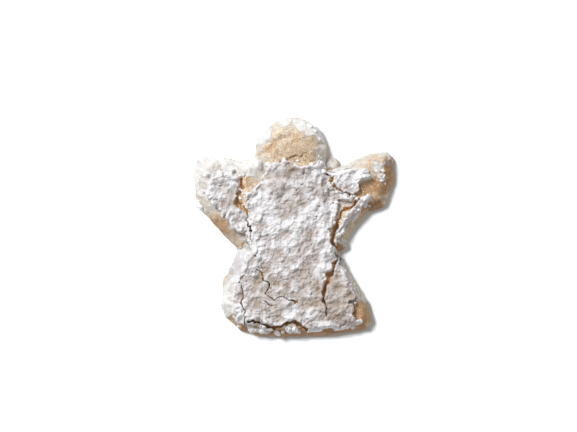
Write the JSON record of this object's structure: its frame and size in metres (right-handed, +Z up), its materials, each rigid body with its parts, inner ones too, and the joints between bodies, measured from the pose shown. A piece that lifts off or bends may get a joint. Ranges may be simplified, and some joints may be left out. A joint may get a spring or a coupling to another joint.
{
  "type": "almond paste cookie",
  "caption": "Thick almond paste cookie cut as an angel with a round head, two wings and a flared gown under a cracked crust of powdered sugar.",
  "frame": {"origin": "centre of the bounding box's bottom face, on the surface that the cookie lies on", "axes": "+Z up through the cookie's thickness, +Y from the gown's hem to the head, +X towards the wing at the right when seen from above"},
  "size_m": [0.0596, 0.0658, 0.0142],
  "materials": {
    "baked_paste": "baked almond paste under a dry crust of powdered sugar"
  },
  "bodies": {
    "root": {"almond_cookie": "baked_paste"}
  },
  "joints": []
}
